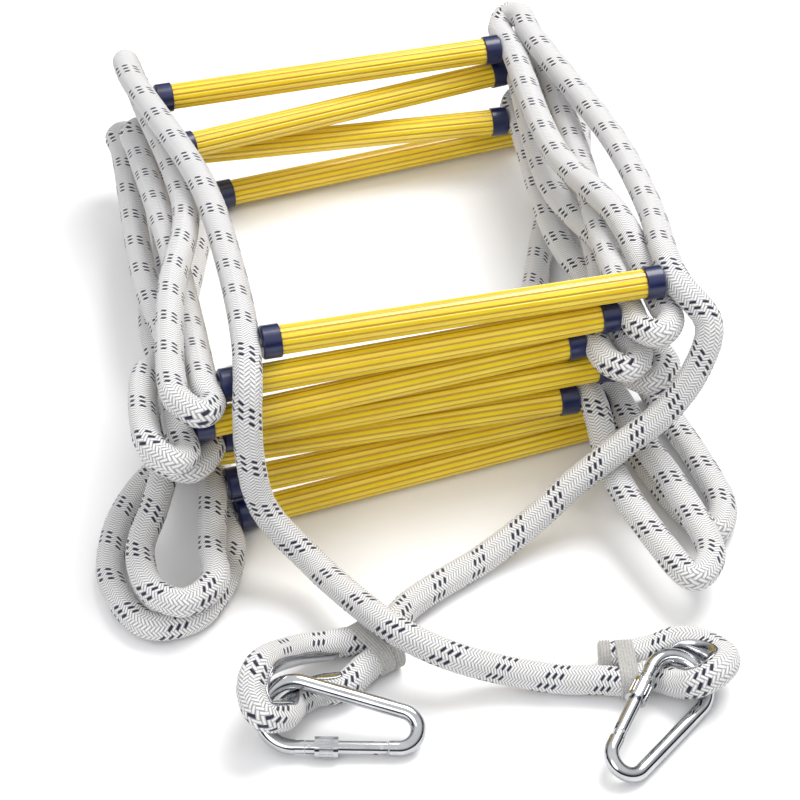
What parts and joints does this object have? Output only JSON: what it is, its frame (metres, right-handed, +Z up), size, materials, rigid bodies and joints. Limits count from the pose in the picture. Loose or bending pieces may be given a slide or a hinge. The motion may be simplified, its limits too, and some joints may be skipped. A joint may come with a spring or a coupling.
{
  "type": "escape rope ladder",
  "caption": "Folded escape ladder of yellow capped rungs between white side ropes, each rope ending in an eye with a screw-lock carabiner for hooking to an anchor.",
  "frame": {"origin": "on the floor, in the middle of the footprint of the rungs and carabiners", "axes": "+X runs along the rungs from the left rope to the right rope, +Y runs from the carabiners at the front to the back pile of rungs, +Z is up"},
  "size_m": [0.4983, 0.7388, 0.1643],
  "materials": {
    "tube": "bright yellow ribbed plastic",
    "cap": "near-black moulded rubber",
    "cord": "white braided cord",
    "rope": "white braided rope with dark tracer flecks",
    "rope_cap": "white thread-bound rope end",
    "seizing": "tight thread whipping",
    "steel": "polished zinc-plated steel",
    "pin": "plain steel",
    "spring": "spring steel wire",
    "plunger": "turned brass"
  },
  "bodies": {
    "ladder": {"rung_tube_01": "tube", "rung_tube_02": "tube", "rung_tube_03": "tube", "rung_tube_04": "tube", "rung_tube_05": "tube", "rung_tube_06": "tube", "rung_tube_07": "tube", "rung_tube_08": "tube", "rung_tube_09": "tube", "rung_tube_10": "tube", "rung_tube_11": "tube", "rung_caps_01": "cap", "rung_caps_02": "cap", "rung_caps_03": "cap", "rung_caps_04": "cap", "rung_caps_05": "cap", "rung_caps_06": "cap", "rung_caps_07": "cap", "rung_caps_08": "cap", "rung_caps_09": "cap", "rung_caps_10": "cap", "rung_caps_11": "cap", "rung_cord_01": "cord", "rung_cord_02": "cord", "rung_cord_03": "cord", "rung_cord_04": "cord", "rung_cord_05": "cord", "rung_cord_06": "cord", "rung_cord_07": "cord", "rung_cord_08": "cord", "rung_cord_09": "cord", "rung_cord_10": "cord", "rung_cord_11": "cord", "left_rope": "rope", "left_rope_end_caps": "rope_cap", "left_eye_seizing": "seizing", "left_thimble": "steel", "left_carabiner_frame": "steel", "right_rope": "rope", "right_rope_end_caps": "rope_cap", "right_eye_seizing": "seizing", "right_thimble": "steel", "right_carabiner_frame": "steel"},
    "left_gate": {"left_carabiner_gate": "steel", "left_hinge_pin": "pin", "left_latch_pin": "pin", "left_gate_spring": "spring", "left_gate_plunger": "plunger"},
    "left_sleeve": {"left_lock_sleeve": "steel"},
    "right_gate": {"right_carabiner_gate": "steel", "right_hinge_pin": "pin", "right_latch_pin": "pin", "right_gate_spring": "spring", "right_gate_plunger": "plunger"},
    "right_sleeve": {"right_lock_sleeve": "steel"}
  },
  "joints": [
    {"name": "left_gate_hinge", "type": "hinge", "parent": "ladder", "child": "left_gate", "pos_m": [0.02568, -0.32302, 0.01914], "axis": [-0.2995, 0.409, -0.862], "range_deg": [0, 16], "stiffness_Nm_per_rad": 0.05, "springref_deg": -14.32},
    {"name": "left_sleeve_slide", "type": "slide", "parent": "left_gate", "child": "left_sleeve", "axis": [0.6494, 0.7493, 0.1299], "range_m": [0, 0.009]},
    {"name": "right_gate_hinge", "type": "hinge", "parent": "ladder", "child": "right_gate", "pos_m": [-0.11941, -0.28297, 0.00656], "axis": [0.1381, 0.541, -0.8296], "range_deg": [0, 16], "stiffness_Nm_per_rad": 0.05, "springref_deg": -14.32},
    {"name": "right_sleeve_slide", "type": "slide", "parent": "right_gate", "child": "right_sleeve", "axis": [-0.961, 0.276, 0.02], "range_m": [0, 0.009]}
  ]
}
